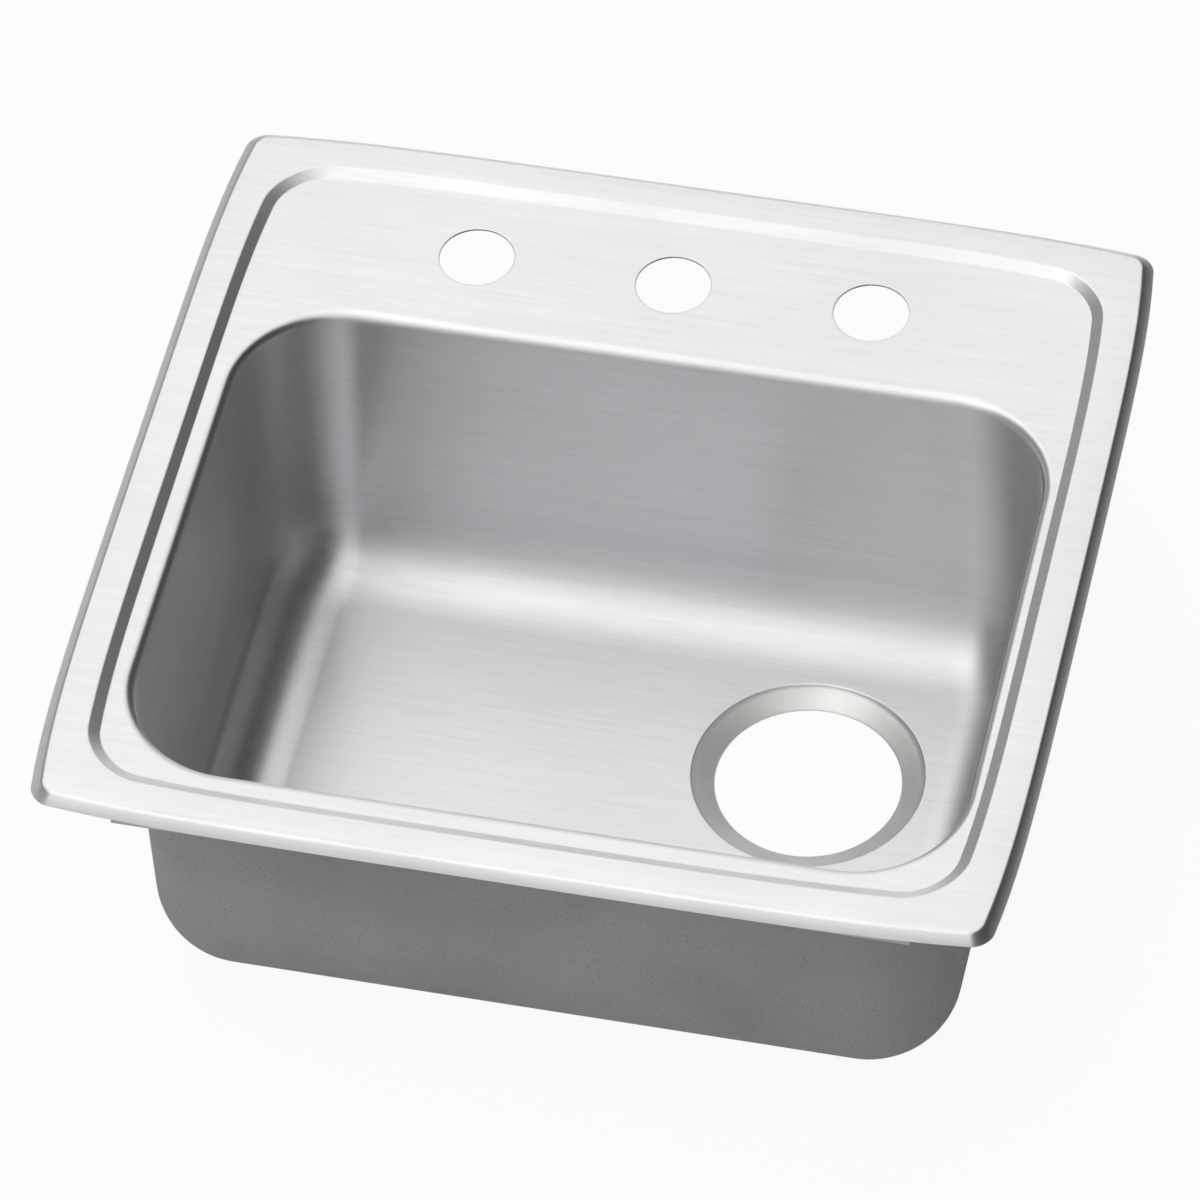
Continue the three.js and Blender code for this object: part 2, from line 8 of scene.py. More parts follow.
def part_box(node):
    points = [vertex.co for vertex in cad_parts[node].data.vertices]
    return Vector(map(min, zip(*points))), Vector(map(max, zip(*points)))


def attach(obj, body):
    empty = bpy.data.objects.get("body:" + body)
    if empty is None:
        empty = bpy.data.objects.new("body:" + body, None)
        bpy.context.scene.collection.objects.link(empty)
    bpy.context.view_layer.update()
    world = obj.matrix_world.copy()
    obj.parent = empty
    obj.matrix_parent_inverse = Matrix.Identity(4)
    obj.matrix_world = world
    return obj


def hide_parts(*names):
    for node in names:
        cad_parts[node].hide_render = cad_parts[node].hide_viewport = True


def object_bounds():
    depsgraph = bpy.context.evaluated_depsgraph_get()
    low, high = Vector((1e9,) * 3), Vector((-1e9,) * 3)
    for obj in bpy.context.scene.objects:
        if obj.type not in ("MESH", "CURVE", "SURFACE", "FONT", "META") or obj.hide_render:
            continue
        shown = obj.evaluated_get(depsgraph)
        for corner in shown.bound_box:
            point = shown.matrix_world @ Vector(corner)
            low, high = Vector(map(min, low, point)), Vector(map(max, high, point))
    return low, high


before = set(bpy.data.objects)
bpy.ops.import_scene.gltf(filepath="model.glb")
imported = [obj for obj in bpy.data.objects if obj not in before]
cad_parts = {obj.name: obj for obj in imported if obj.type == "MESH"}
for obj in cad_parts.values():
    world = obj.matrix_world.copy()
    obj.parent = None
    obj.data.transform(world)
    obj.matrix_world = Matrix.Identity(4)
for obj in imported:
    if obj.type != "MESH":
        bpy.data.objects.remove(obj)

cad_low, cad_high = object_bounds()

# ---- camera -----------------------------------------------------------------------------------
# A long lens stands about four metres off, to the front and right, and looks steeply down into the
# bowl. It leans a little, so that the sink sits turned in the frame.
camera_azimuth = math.radians(14.81)
camera_elevation = math.radians(49.93)
camera_roll = math.radians(-3.05)
camera_distance = 4.16
camera_aim = Vector((-0.0036, -0.0097, 0.1367))
camera_back = Vector((
    math.sin(camera_azimuth) * math.cos(camera_elevation),
    -math.cos(camera_azimuth) * math.cos(camera_elevation),
    math.sin(camera_elevation),
))
camera = bpy.data.objects.new("camera", bpy.data.cameras.new("camera"))
camera.data.sensor_width = 36
camera.data.lens = 251.8
camera.data.shift_x = 0.0025
camera.data.clip_end = 50
camera.location = camera_aim + camera_back * camera_distance
camera.rotation_mode = "QUATERNION"
level_view = (-camera_back).to_track_quat("-Z", "Y")
camera.rotation_quaternion = level_view @ Quaternion((0, 0, 1), camera_roll)
bpy.context.scene.collection.objects.link(camera)
bpy.context.scene.camera = camera
bpy.context.scene.view_settings.view_transform = "Standard"

# ---- floor ------------------------------------------------------------------------------------
# A matt white paper floor runs far past the sink. It is lit so evenly that it reads as white,
# with only a faint shadow where the bowl stands on it.


def add_node(tree, kind, values=(), **settings):
    made = tree.nodes.new(kind)
    for key, value in settings.items():
        setattr(made, key, value)
    for name, value in dict(values).items():
        if isinstance(value, bpy.types.NodeSocket):
            tree.links.new(value, made.inputs[name])
        else:
            made.inputs[name].default_value = value
    return made


floor_size = 14
floor_shade = 0.86
floor_glow_share = 0.93            # how much of the floor's brightness is even glow, as seen

floor_paper = bpy.data.materials.new("floor_paper")
floor_paper.use_nodes = True
tree = floor_paper.node_tree
tree.nodes.clear()
ray = add_node(tree, "ShaderNodeLightPath")
side = add_node(tree, "ShaderNodeNewGeometry")
matt = add_node(tree, "ShaderNodeBsdfDiffuse", {"Color": (floor_shade,) * 3 + (1,)})
glow = add_node(tree, "ShaderNodeEmission", {"Color": (1, 1, 1, 1), "Strength": 1.0})
share = add_node(tree, "ShaderNodeMapRange", {"Value": ray.outputs["Is Camera Ray"],
                                              "To Min": 0.22, "To Max": floor_glow_share})
seen = add_node(tree, "ShaderNodeMixShader", {0: share.outputs[0], 1: matt.outputs[0],
                                              2: glow.outputs[0]})
clear = add_node(tree, "ShaderNodeBsdfTransparent")
from_below = add_node(tree, "ShaderNodeMixShader", {0: side.outputs["Backfacing"],
                                                    1: seen.outputs[0], 2: clear.outputs[0]})
add_node(tree, "ShaderNodeOutputMaterial", {"Surface": from_below.outputs[0]})


def add_piece(name, mesh_maker, materials):
    """Runs mesh_maker on an empty bmesh and links the result as an object at the origin."""
    bm = bmesh.new()
    mesh_maker(bm)
    mesh = bpy.data.meshes.new(name)
    bm.to_mesh(mesh)
    bm.free()
    for material in materials:
        mesh.materials.append(material)
    piece = bpy.data.objects.new(name, mesh)
    bpy.context.scene.collection.objects.link(piece)
    return piece


def floor_mesh(bm):
    bmesh.ops.create_grid(bm, x_segments=1, y_segments=1, size=floor_size / 2,
                          matrix=Matrix.Translation((0, 0, cad_low.z - 0.0005)))


add_piece("floor", floor_mesh, [floor_paper])

# ---- lights -----------------------------------------------------------------------------------
# Two wide soft boxes hang over the sink and behind it, a weak one fills from the front, and the
# room is dark to the right, so that the steps in the rim and the wall at the left stay dark.


def soft_box(name, size, place, power, aim=(0, 0, 0.1)):
    light = bpy.data.lights.new(name, "AREA")
    light.shape = "RECTANGLE"
    light.size, light.size_y = size
    light.energy = power
    lamp = bpy.data.objects.new(name, light)
    lamp.location = place
    lamp.rotation_mode = "QUATERNION"
    lamp.rotation_quaternion = (Vector(aim) - Vector(place)).to_track_quat("-Z", "Y")
    bpy.context.scene.collection.objects.link(lamp)


soft_box("back_soft_box", (2.6, 3.4), (-0.3, 1.6, 2.6), 24)
soft_box("overhead_soft_box", (2.6, 2.2), (-0.3, -1.2, 2.6), 21.5)
soft_box("front_soft_box", (3.0, 1.0), (-0.3, -2.7, 2.0), 3.5)

world = bpy.data.worlds.new("studio")
bpy.context.scene.world = world
world.use_nodes = True
tree = world.node_tree
tree.nodes.clear()
ray = add_node(tree, "ShaderNodeLightPath")
direction = add_node(tree, "ShaderNodeTexCoord")
parts = add_node(tree, "ShaderNodeSeparateXYZ", {0: direction.outputs["Generated"]})
height = add_node(tree, "ShaderNodeValToRGB", {0: parts.outputs["Z"]})
room = [(0.0, 0.62), (0.26, 0.55), (0.45, 0.22), (0.65, 0.25), (0.85, 0.8), (1.0, 0.9)]
ramp = height.color_ramp
while len(ramp.elements) < len(room):
    ramp.elements.new(0.5)
for element, (position, shade) in zip(ramp.elements, room):
    element.position = position
    element.color = (shade, shade, shade, 1)
across = add_node(tree, "ShaderNodeMapRange", {"Value": parts.outputs["X"], "From Min": -0.3,
                                                "From Max": 0.5, "To Min": 1.1, "To Max": 0.18})
lit = add_node(tree, "ShaderNodeBackground", {"Color": height.outputs["Color"],
                                              "Strength": across.outputs[0]})
seen = add_node(tree, "ShaderNodeBackground", {"Color": (0.97, 0.97, 0.97, 1), "Strength": 1.0})
both = add_node(tree, "ShaderNodeMixShader", {0: ray.outputs["Is Camera Ray"], 1: lit.outputs[0],
                                              2: seen.outputs[0]})
add_node(tree, "ShaderNodeOutputWorld", {"Surface": both.outputs[0]})

# ---- sink pan ---------------------------------------------------------------------------------
# The pan is one stainless sheet: the bowl is deep drawn, the rim is pressed up round the deck, and
# the three tap holes and the drain are punched. The faces are brushed with a satin grain that runs
# along the sink, and round the walls of the bowl.
sheet = 0.0012
side_crown = 0.007
end_crown = 0.0054
crown_power = 5.2
pan_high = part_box("sink_pan")[1]
rim_rise = 0.003
lip_drop = 0.0014
deck_z = pan_high.z - rim_rise
bevel_width = 0.0048
strip_width = 0.0162
step_width = 0.0055
rim_corners = {"lip": 0.009, "break": 0.006, "strip": 0.0275, "foot": 0.022}
rim_fillets = {"break": 0.0028, "strip": 0.0026, "foot": 0.0018}
deck_start = 0.0006                 # level deck outside the step, before the filled stretch
bowl_half_x = 0.2051
bowl_half_y = 0.1492
bowl_x = 0.0021
bowl_y = -0.040
bowl_depth = 0.1778
bowl_edge = 0.0055
bowl_corner = 0.054
foot_corner = 0.044
cove = 0.0381
wall_draft = 0.03
foot_inset = wall_draft * (bowl_depth - bowl_edge - cove)
floor_z = deck_z - bowl_depth
drain_from_right = 0.1045           # drain centre to the foot of the right wall
drain_from_back = 0.1027
drain_x = bowl_x + bowl_half_x - foot_inset - drain_from_right
drain_y = bowl_y + bowl_half_y - foot_inset - drain_from_back
drain_hole = 0.0475
recess = 0.0585
recess_depth = 0.007
tap_hole = 0.01905
tap_pitch = 0.1016
tap_y = pan_high.y - 0.0686

corner_steps = 18
end_steps = 40
side_steps = 34


def outline(half_x, half_y, radius, centre, z, swell=0):
    """A level rounded rectangle; with swell, its sides bow outwards between the corners."""
    corners = []
    for sx, sy, start in ((1, -1, -90), (1, 1, 0), (-1, 1, 90), (-1, -1, 180)):
        turns = [math.radians(start + 90 * i / corner_steps) for i in range(corner_steps + 1)]
        corners.append([(sx * (half_x - radius) + radius * math.cos(a),
                         sy * (half_y - radius) + radius * math.sin(a)) for a in turns])
    flat = []
    for index, corner in enumerate(corners):
        flat += corner
        (x0, y0), (x1, y1) = corner[-1], corners[(index + 1) % 4][0]
        steps = side_steps if index % 2 == 0 else end_steps
        flat += [(x0 + (x1 - x0) * i / steps, y0 + (y1 - y0) * i / steps) for i in range(1, steps)]
    points = []
    for x, y in flat:
        u, v = x / half_x, y / half_y
        bow_x = swell * u * side_crown * (1 - abs(v) ** crown_power)
        bow_y = swell * v * end_crown * (1 - abs(u) ** crown_power)
        points.append(Vector((x + bow_x + centre[0], y + bow_y + centre[1], z)))
    return points


def circle(radius, x, y, z, steps):
    turns = [2 * math.pi * i / steps for i in range(steps)]
    return [Vector((x + radius * math.cos(a), y + radius * math.sin(a), z)) for a in turns]


def loop_edges(bm, verts):
    return [bm.edges.get((a, b)) for a, b in zip(verts, verts[1:] + verts[:1])]


def start_loop(bm, points):
    verts = [bm.verts.new(point) for point in points]
    for a, b in zip(verts, verts[1:] + verts[:1]):
        bm.edges.new((a, b))
    return verts


def extrude_loop(bm, verts, points):
    """Extrudes a closed loop of edges on to the given points, and returns the new loop."""
    made = bmesh.ops.extrude_edge_only(bm, edges=loop_edges(bm, verts))["geom"]
    fresh = {item for item in made if isinstance(item, bmesh.types.BMVert)}
    following = []
    for vert, point in zip(verts, points):
        twin = next(e.other_vert(vert) for e in vert.link_edges if e.other_vert(vert) in fresh)
        twin.co = point
        following.append(twin)
    return following


def fill_flat(bm, *loops):
    """Fills the level stretch between an outer loop and the holes in it."""
    edges = [edge for loop in loops for edge in loop_edges(bm, loop)]
    bmesh.ops.triangle_fill(bm, use_beauty=True, use_dissolve=False, edges=edges)


def filleted(corners, steps):
    """Rounds the inner corners of a section. A corner is (inset, height, plan radius, fillet)."""
    rows = [corners[0][:3]]
    for before, at, after in zip(corners, corners[1:], corners[2:]):
        p = Vector(at[:2])
        into = (Vector(before[:2]) - p).normalized()
        out = (Vector(after[:2]) - p).normalized()
        half_turn = into.angle(out) / 2
        reach = at[3] / math.tan(half_turn)
        middle = p + (into + out).normalized() * (at[3] / math.sin(half_turn))
        first, last = p + into * reach - middle, p + out * reach - middle
        sweep = first.angle_signed(last)
        for i in range(steps + 1):
            spoke = Matrix.Rotation(-sweep * i / steps, 2) @ first
            point = middle + spoke
            rows.append((point.x, point.y, at[2] + (at[0] - point.x) * at[4]))
    rows.append(corners[-1][:3])
    return rows


def rim_rows():
    strip_edge = bevel_width + strip_width
    foot = strip_edge + step_width
    # The last number is how fast the plan radius shrinks with the inset at that corner.
    corners = [
        (0.0, -lip_drop, rim_corners["lip"], 0, 0),
        (bevel_width, rim_rise, rim_corners["break"], rim_fillets["break"], 1),
        (strip_edge, rim_rise, rim_corners["strip"], rim_fillets["strip"], 1),
        (foot, 0.0, rim_corners["foot"], rim_fillets["foot"], 1),
        (foot + deck_start, 0.0, rim_corners["foot"] - deck_start, 0, 1),
    ]
    return filleted(corners, 6)


def rim_outline(inset, height, radius):
    return outline(pan_high.x - side_crown - inset, pan_high.y - end_crown - inset, radius, (0, 0),
                   deck_z + height, swell=1)


def wall_and_cove(outset):
    """Rows of (inset, z, plan radius) down the wall and round the cove, outset from the inside."""
    rows = []
    top, foot = deck_z - bowl_edge, floor_z + cove
    wall_steps, cove_steps = 18, 14
    for i in range(1, wall_steps + 1):
        share = i / wall_steps
        rows.append((foot_inset * share - outset, top + (foot - top) * share,
                     bowl_corner + (foot_corner - bowl_corner) * share + outset))
    for i in range(1, cove_steps + 1):
        turn = math.pi / 2 * i / cove_steps
        inward = (cove + outset) * (1 - math.cos(turn))
        rows.append((foot_inset - outset + inward, foot - (cove + outset) * math.sin(turn),
                     foot_corner + outset - inward))
    return rows


def bowl_outline(inset, z, radius):
    return outline(bowl_half_x - inset, bowl_half_y - inset, radius, (bowl_x, bowl_y), z)


def drain_rows():
    """(radius, z) from the bowl's floor into the recess and down its cone to the hole."""
    edge = 0.0015
    rows = []
    for i in range(7):
        turn = math.radians(64) * i / 6
        rows.append((recess + edge * (1 - math.sin(turn)), floor_z - edge * (1 - math.cos(turn))))
    step_foot = floor_z - 0.0019
    rows += [(recess - 0.0009, step_foot + 0.0002), (recess - 0.0015, step_foot - 0.0001)]
    cone_top = (recess - 0.0024, step_foot - 0.0005)
    for i in range(9):
        share = i / 8
        rows.append((cone_top[0] + (drain_hole - cone_top[0]) * share,
                     cone_top[1] + (floor_z - recess_depth - cone_top[1]) * share))
    return rows


def pan_mesh(bm):
    # Each bend ends in a level ring this wide, which keeps the shading of the flats even.
    margin, mouth_margin = 0.0012, 0.0002
    hole_steps, drain_steps = 64, 128
    rows = rim_rows()
    loop = start_loop(bm, rim_outline(*rows[0]))
    for row in rows[1:]:
        loop = extrude_loop(bm, loop, rim_outline(*row))
    deck_outer = loop

    mouth_steps = 8
    mouth = []
    for i in range(mouth_steps + 1):
        turn = math.pi / 2 * i / mouth_steps
        out = bowl_edge * (1 - math.sin(turn))
        mouth.append((-out, deck_z - bowl_edge * (1 - math.cos(turn)), bowl_corner + out))
    first = (-bowl_edge - mouth_margin, deck_z, bowl_corner + bowl_edge + mouth_margin)
    deck_inner = start_loop(bm, bowl_outline(*first))
    loop = deck_inner
    for row in mouth + wall_and_cove(0):
        loop = extrude_loop(bm, loop, bowl_outline(*row))
    last = (foot_inset + cove + margin, floor_z, foot_corner - cove - margin)
    bowl_floor = extrude_loop(bm, loop, bowl_outline(*last))

    taps = []
    for side in (-1, 0, 1):
        x = side * tap_pitch
        outer = start_loop(bm, circle(tap_hole + margin, x, tap_y, deck_z, hole_steps))
        extrude_loop(bm, outer, circle(tap_hole, x, tap_y, deck_z, hole_steps))
        taps.append(outer)

    radius, z = drain_rows()[0]
    drain = start_loop(bm, circle(radius + margin, drain_x, drain_y, z, drain_steps))
    loop = drain
    seat_start = len(bm.faces)
    for radius, z in drain_rows():
        loop = extrude_loop(bm, loop, circle(radius, drain_x, drain_y, z, drain_steps))
    bm.faces.ensure_lookup_table()
    for face in bm.faces[seat_start:]:
        face.material_index = 1 if face.calc_center_median().z < floor_z - 0.0004 else 0
    fill_flat(bm, deck_outer, deck_inner, *taps)
    fill_flat(bm, bowl_floor, drain)
    bmesh.ops.recalc_face_normals(bm, faces=bm.faces)
    level = max(bm.faces, key=lambda face: face.calc_area())
    if level.normal.z < 0:
        bmesh.ops.reverse_faces(bm, faces=bm.faces)
    for face in bm.faces:
        face.smooth = True


def grain(tree, along, across, detail, seed):
    """Streaks that run along X on level faces and level round upright ones, from 0 to 1."""
    place = add_node(tree, "ShaderNodeTexCoord").outputs["Object"]
    facing = add_node(tree, "ShaderNodeNewGeometry").outputs["Normal"]
    parts = add_node(tree, "ShaderNodeSeparateXYZ", {0: facing})
    level = add_node(tree, "ShaderNodeMath", {0: parts.outputs["Z"]}, operation="ABSOLUTE")
    share = add_node(tree, "ShaderNodeMapRange", {"Value": level.outputs[0], "From Min": 0.3,
                                                  "From Max": 0.5})
    streaks = []
    for stretch in ((along, along, across), (along, across, along)):
        spread = add_node(tree, "ShaderNodeVectorMath", {0: place, 1: stretch},
                          operation="MULTIPLY")
        noise = add_node(tree, "ShaderNodeTexNoise", {"Vector": spread.outputs[0], "W": seed,
                                                      "Scale": 1.0, "Detail": detail},
                         noise_dimensions="4D")
        streaks.append(noise.outputs[0])
    mixed = add_node(tree, "ShaderNodeMix", {0: share.outputs[0], 2: streaks[0], 3: streaks[1]})
    return mixed.outputs[0]


def cloud(tree, scale, detail, seed):
    place = add_node(tree, "ShaderNodeTexCoord").outputs["Object"]
    noise = add_node(tree, "ShaderNodeTexNoise", {"Vector": place, "W": seed, "Scale": scale,
                                                  "Detail": detail}, noise_dimensions="4D")
    return noise.outputs[0]


def between(tree, value, low, high):
    """Stretches the middle of a noise over low to high."""
    spread = add_node(tree, "ShaderNodeMapRange", {"Value": value, "From Min": 0.3,
                                                   "From Max": 0.7, "To Min": low, "To Max": high})
    return spread.outputs[0]


def tinted(tree, value, dark, light):
    """A colour between dark and light, by a value from 0 to 1."""
    mixed = add_node(tree, "ShaderNodeMix", {"Factor": value, "A": (*dark, 1), "B": (*light, 1)},
                     data_type="RGBA")
    return mixed.outputs["Result"]


def metal(name, roughness, anisotropic=0.0):
    material = bpy.data.materials.new(name)
    material.use_nodes = True
    bsdf = material.node_tree.nodes["Principled BSDF"]
    bsdf.inputs["Metallic"].default_value = 1.0
    bsdf.inputs["Anisotropic"].default_value = anisotropic
    bsdf.inputs["Roughness"].default_value = roughness
    return material, material.node_tree, bsdf


def add_bump(tree, bsdf, height, distance, strength=1.0, before=None):
    values = {"Height": height, "Distance": distance, "Strength": strength}
    if before is not None:
        values["Normal"] = before
    bump = add_node(tree, "ShaderNodeBump", values)
    tree.links.new(bump.outputs[0], bsdf.inputs["Normal"])
    return bump.outputs[0]


def across_the_grain(tree):
    """The direction that the brushing spreads a highlight in: at right angles to the grain."""
    facing = add_node(tree, "ShaderNodeNewGeometry").outputs["Normal"]
    parts = add_node(tree, "ShaderNodeSeparateXYZ", {0: facing})
    level = add_node(tree, "ShaderNodeMath", {0: parts.outputs["Z"]}, operation="ABSOLUTE")
    share = add_node(tree, "ShaderNodeMapRange", {"Value": level.outputs[0], "From Min": 0.3,
                                                  "From Max": 0.5})
    round_wall = add_node(tree, "ShaderNodeVectorMath", {0: (0, 0, 1), 1: facing},
                          operation="CROSS_PRODUCT")
    along = add_node(tree, "ShaderNodeMix", {"Factor": share.outputs[0],
                                             "A": round_wall.outputs[0], "B": (1, 0, 0)},
                     data_type="VECTOR")
    across = add_node(tree, "ShaderNodeVectorMath", {0: facing, 1: along.outputs["Result"]},
                      operation="CROSS_PRODUCT")
    return across.outputs[0]


def brushed_steel():
    material, tree, bsdf = metal("brushed_steel", 0.42, anisotropic=0.85)
    fine = grain(tree, 55, 1900, 3, 1.0)
    broad = grain(tree, 14, 420, 2, 4.0)
    patches = cloud(tree, 9, 3, 2.0)
    both = add_node(tree, "ShaderNodeMath", {0: fine, 1: broad}, operation="ADD")
    halved = add_node(tree, "ShaderNodeMath", {0: both.outputs[0], 1: 0.5}, operation="MULTIPLY")
    shade = between(tree, halved.outputs[0], 0, 1)
    tree.links.new(tinted(tree, shade, (0.655, 0.66, 0.672), (0.74, 0.745, 0.755)),
                   bsdf.inputs["Base Color"])
    rough = add_node(tree, "ShaderNodeMath", {0: between(tree, fine, -0.04, 0.04),
                                              1: between(tree, patches, 0.39, 0.45)},
                     operation="ADD")
    tree.links.new(rough.outputs[0], bsdf.inputs["Roughness"])
    tree.links.new(across_the_grain(tree), bsdf.inputs["Tangent"])
    smooth = add_bump(tree, bsdf, patches, 0.0006, 0.25)
    add_bump(tree, bsdf, fine, 0.00002, 0.6, before=smooth)
    return material


def burnished_steel():
    """The drain seat, spun smooth: rings that follow the hole, and a warmer, darker tone."""
    material, tree, bsdf = metal("burnished_steel", 0.54, anisotropic=0.2)
    place = add_node(tree, "ShaderNodeTexCoord").outputs["Object"]
    shifted = add_node(tree, "ShaderNodeVectorMath", {0: place, 1: (drain_x, drain_y, 0)},
                       operation="SUBTRACT")
    parts = add_node(tree, "ShaderNodeSeparateXYZ", {0: shifted.outputs[0]})
    level = add_node(tree, "ShaderNodeCombineXYZ", {0: parts.outputs[0], 1: parts.outputs[1]})
    out = add_node(tree, "ShaderNodeVectorMath", {0: level.outputs[0]}, operation="LENGTH")
    turns = add_node(tree, "ShaderNodeMath", {0: out.outputs["Value"], 1: 2600},
                     operation="MULTIPLY")
    rings = add_node(tree, "ShaderNodeTexNoise", {"W": turns.outputs[0], "Scale": 1.0,
                                                  "Detail": 2.0}, noise_dimensions="1D")
    patches = cloud(tree, 26, 3, 5.0)
    shade = between(tree, patches, 0, 1)
    tree.links.new(tinted(tree, shade, (0.70, 0.70, 0.675), (0.84, 0.835, 0.81)),
                   bsdf.inputs["Base Color"])
    tree.links.new(between(tree, rings.outputs[0], 0.50, 0.58), bsdf.inputs["Roughness"])
    add_bump(tree, bsdf, rings.outputs[0], 0.00001, 0.5)
    return material


def mill_steel(name, seed):
    """The sheet's back, as it left the rolling mill: dull and faintly mottled."""
    material, tree, bsdf = metal(name, 0.42, anisotropic=0.2)
    patches = cloud(tree, 34, 4, seed)
    rolled = grain(tree, 8, 260, 2, seed + 1)
    tree.links.new(tinted(tree, between(tree, patches, 0, 1), (0.40, 0.405, 0.41),
                          (0.53, 0.53, 0.53)), bsdf.inputs["Base Color"])
    tree.links.new(between(tree, rolled, 0.36, 0.5), bsdf.inputs["Roughness"])
    add_bump(tree, bsdf, patches, 0.0003, 0.2)
    return material


def add_thickness(piece, thickness, back_material=0, edge=0.0002):
    solid = piece.modifiers.new("sheet", "SOLIDIFY")
    solid.thickness = thickness
    solid.offset = -1
    solid.use_even_offset = True
    solid.material_offset = back_material
    soften(piece, edge)


def soften(piece, width, segments=2):
    rounded = piece.modifiers.new("edges", "BEVEL")
    rounded.width = width
    rounded.segments = segments
    rounded.limit_method = "ANGLE"
    rounded.angle_limit = math.radians(50)


sheet_back = mill_steel("mill_steel", 11.0)
pan = add_piece("pan", pan_mesh, [brushed_steel(), burnished_steel(), sheet_back, sheet_back])
add_thickness(pan, sheet, back_material=2)
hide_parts("sink_pan")
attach(pan, "root")

# ---- undercoat --------------------------------------------------------------------------------
# A grey rubbery coat is sprayed on the outside of the bowl to deaden sound and stop dripping. It
# is thick and even, with a pebbled skin, and stops at a masked ring round the drain.
undercoat = 0.0008
undercoat_gap = sheet + 0.0003
undercoat_top = 0.008
drain_mask = 0.0036


def undercoat_mesh(bm):
    outset = undercoat_gap + undercoat
    top = deck_z - undercoat_top
    rows = [row for row in wall_and_cove(outset) if row[1] < top - 0.002]
    first = (rows[0][0], top, rows[0][2])
    points = bowl_outline(*first)
    for i, point in enumerate(points):
        turn = 2 * math.pi * i / len(points)
        point.z += 0.0004 * math.sin(9 * turn) + 0.0003 * math.sin(23 * turn + 1)
    loop = start_loop(bm, points)
    for row in rows:
        loop = extrude_loop(bm, loop, bowl_outline(*row))
    hole = start_loop(bm, circle(recess + 0.0015 + drain_mask, drain_x, drain_y, rows[-1][1], 96))
    fill_flat(bm, loop, hole)
    bmesh.ops.recalc_face_normals(bm, faces=bm.faces)
    level = max(bm.faces, key=lambda face: face.calc_area())
    if level.normal.z > 0:
        bmesh.ops.reverse_faces(bm, faces=bm.faces)
    for face in bm.faces:
        face.smooth = True


def grey_undercoat():
    material, tree, bsdf = metal("grey_undercoat", 0.8)
    bsdf.inputs["Metallic"].default_value = 0.0
    bsdf.inputs["Specular IOR Level"].default_value = 0.3
    pebbles = cloud(tree, 520, 2, 21.0)
    specks = cloud(tree, 900, 1, 22.0)
    patches = cloud(tree, 11, 3, 23.0)
    speck_share = add_node(tree, "ShaderNodeMapRange", {"Value": specks, "From Min": 0.62,
                                                        "From Max": 0.7})
    ground = tinted(tree, between(tree, patches, 0, 1), (0.288, 0.293, 0.29),
                    (0.36, 0.365, 0.36))
    mixed = add_node(tree, "ShaderNodeMix", {"Factor": speck_share.outputs[0], "A": ground,
                                             "B": (0.22, 0.222, 0.225, 1)}, data_type="RGBA")
    tree.links.new(mixed.outputs["Result"], bsdf.inputs["Base Color"])
    tree.links.new(between(tree, pebbles, 0.68, 0.9), bsdf.inputs["Roughness"])
    add_bump(tree, bsdf, pebbles, 0.0004, 0.5)
    return material


coat = add_piece("sound_coat", undercoat_mesh, [grey_undercoat()])
add_thickness(coat, undercoat, edge=0.00025)
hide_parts("undercoat")
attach(coat, "root")

# ---- rails ------------------------------------------------------------------------------------
# Four C channels are folded from dull stainless strip and tack welded under the rim, slot down.
# The clips slide along them to suit the counter.
rail_sheet = 0.0012
rail_slot = 0.007
rail_bend = 0.0025
rail_foot = 0.0016
weld_pitch = 0.060
weld_bead = 0.0016
bead_shape = (1, 3.2, 0.75, 1)      # long along the seam, and low
seam_share = (0.45, 0.42)           # how far into the bend the seam lies, in and down


def rail_mesh(width, height, length):
    def make(bm):
        half, slot = width / 2, rail_slot / 2
        section = [(slot, 0), (half, 0), (half, height), (-half, height), (-half, 0), (-slot, 0)]
        verts = [bm.verts.new((x, -length / 2, z)) for x, z in section]
        edges = [bm.edges.new(pair) for pair in zip(verts, verts[1:])]
        made = bmesh.ops.extrude_edge_only(bm, edges=edges)["geom"]
        moved = [item for item in made if isinstance(item, bmesh.types.BMVert)]
        bmesh.ops.translate(bm, verts=moved, vec=(0, length, 0))
        for z, radius in ((0, rail_foot), (height, rail_bend)):
            bends = [e for e in bm.edges if e.calc_length() > length * 0.9
                     and all(abs(abs(v.co.x) - half) < 1e-6 and abs(v.co.z - z) < 1e-6
                             for v in e.verts)]
            bmesh.ops.bevel(bm, geom=bends, offset=radius, offset_type="OFFSET", segments=5,
                            profile=0.5, affect="EDGES", material=-1)
        bmesh.ops.recalc_face_normals(bm, faces=bm.faces)
        top = max(bm.faces, key=lambda face: face.calc_center_median().z)
        if top.normal.z < 0:
            bmesh.ops.reverse_faces(bm, faces=bm.faces)
        bmesh.ops.solidify(bm, geom=bm.faces[:], thickness=rail_sheet)
        for face in bm.faces:
            face.smooth = False
        count = int(length / weld_pitch)
        for i in range(count):
            for side in (-1, 1):
                spot = Vector((side * (half - rail_bend * seam_share[0]),
                               (i - (count - 1) / 2) * weld_pitch,
                               height - rail_bend * seam_share[1]))
                shape = Matrix.Translation(spot) @ Matrix.Diagonal(bead_shape)
                bead = bmesh.ops.create_icosphere(bm, subdivisions=2, radius=weld_bead,
                                                  matrix=shape)["verts"]
                for face in {f for vert in bead for f in vert.link_faces}:
                    face.smooth = True
                    face.material_index = 1
    return make


